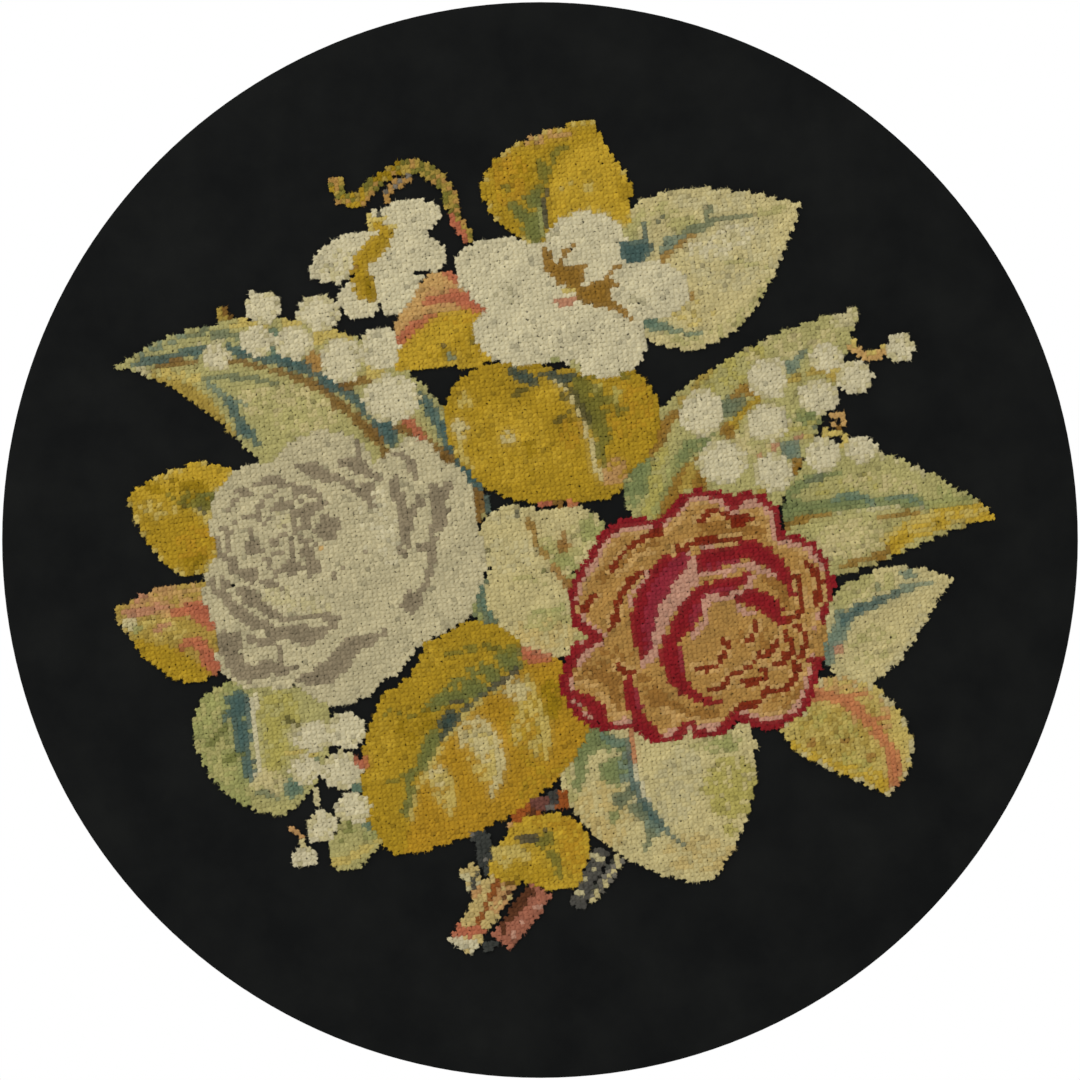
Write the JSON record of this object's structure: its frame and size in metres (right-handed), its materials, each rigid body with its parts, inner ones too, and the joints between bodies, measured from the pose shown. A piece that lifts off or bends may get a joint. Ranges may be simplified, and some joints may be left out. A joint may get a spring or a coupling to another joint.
{
  "type": "embroidered panel",
  "caption": "Round black wool panel with a bouquet of roses, bells and leaves in raised wool cross stitch; lies flat or is made up as a cushion or stool top.",
  "frame": {"origin": "centre of the round underside of the ground cloth", "axes": "+Z out of the embroidered face, +Y to the top of the bouquet, +X to its right"},
  "size_m": [0.42, 0.42, 0.0031],
  "materials": {
    "black_ground_cloth": "matt fulled wool broadcloth, near black",
    "gold_wool": "matt gold wool cross stitch",
    "cream_wool": "matt cream wool cross stitch",
    "ivory_wool": "matt ivory wool cross stitch",
    "pale_green_wool": "matt pale green and cream wool cross stitch",
    "coral_wool": "matt peach and coral wool cross stitch",
    "crimson_wool": "matt crimson, rose pink and tan wool cross stitch",
    "tan_wool": "matt tan wool cross stitch",
    "teal_wool": "matt grey-teal wool cross stitch",
    "grey_wool": "matt grey wool cross stitch"
  },
  "bodies": {
    "root": {"bell_left_01": "ivory_wool", "bell_left_02": "ivory_wool", "bell_left_03": "ivory_wool", "bell_left_04": "ivory_wool", "bell_left_05": "ivory_wool", "bell_left_06": "ivory_wool", "bell_left_07": "ivory_wool", "bell_left_08": "ivory_wool", "bell_low_01": "ivory_wool", "bell_low_02": "ivory_wool", "bell_low_03": "ivory_wool", "bell_low_04": "ivory_wool", "bell_low_05": "ivory_wool", "bell_low_06": "ivory_wool", "bell_low_07": "ivory_wool", "bell_right_01": "ivory_wool", "bell_right_02": "ivory_wool", "bell_right_03": "ivory_wool", "bell_right_04": "ivory_wool", "bell_right_05": "ivory_wool", "bell_right_06": "ivory_wool", "bell_right_07": "ivory_wool", "bell_right_08": "ivory_wool", "bell_right_09": "ivory_wool", "bell_right_10": "ivory_wool", "bell_right_11": "ivory_wool", "flower_snowdrop": "ivory_wool", "flower_white": "ivory_wool", "ground_cloth": "black_ground_cloth", "leaf_big_yellow": "gold_wool", "leaf_bottom_right": "pale_green_wool", "leaf_bottom_yellow": "gold_wool", "leaf_central": "gold_wool", "leaf_coral_upper": "coral_wool", "leaf_left_coral": "coral_wool", "leaf_left_long": "pale_green_wool", "leaf_left_yellow": "gold_wool", "leaf_lower_left": "pale_green_wool", "leaf_pale_middle": "pale_green_wool", "leaf_right_coral": "coral_wool", "leaf_right_long": "pale_green_wool", "leaf_right_small": "pale_green_wool", "leaf_right_upper": "pale_green_wool", "leaf_small_low": "pale_green_wool", "leaf_teal": "teal_wool", "leaf_top": "gold_wool", "leaf_upper_right": "pale_green_wool", "rose_red": "crimson_wool", "rose_white": "ivory_wool", "stem_coral": "coral_wool", "stem_grey": "grey_wool", "stem_main": "tan_wool", "stem_pale": "cream_wool", "stem_right_sprig": "tan_wool", "stem_snowdrop": "tan_wool", "stem_teal": "teal_wool", "stem_thorn": "tan_wool", "stem_upper": "coral_wool", "tendril": "tan_wool"}
  },
  "joints": []
}
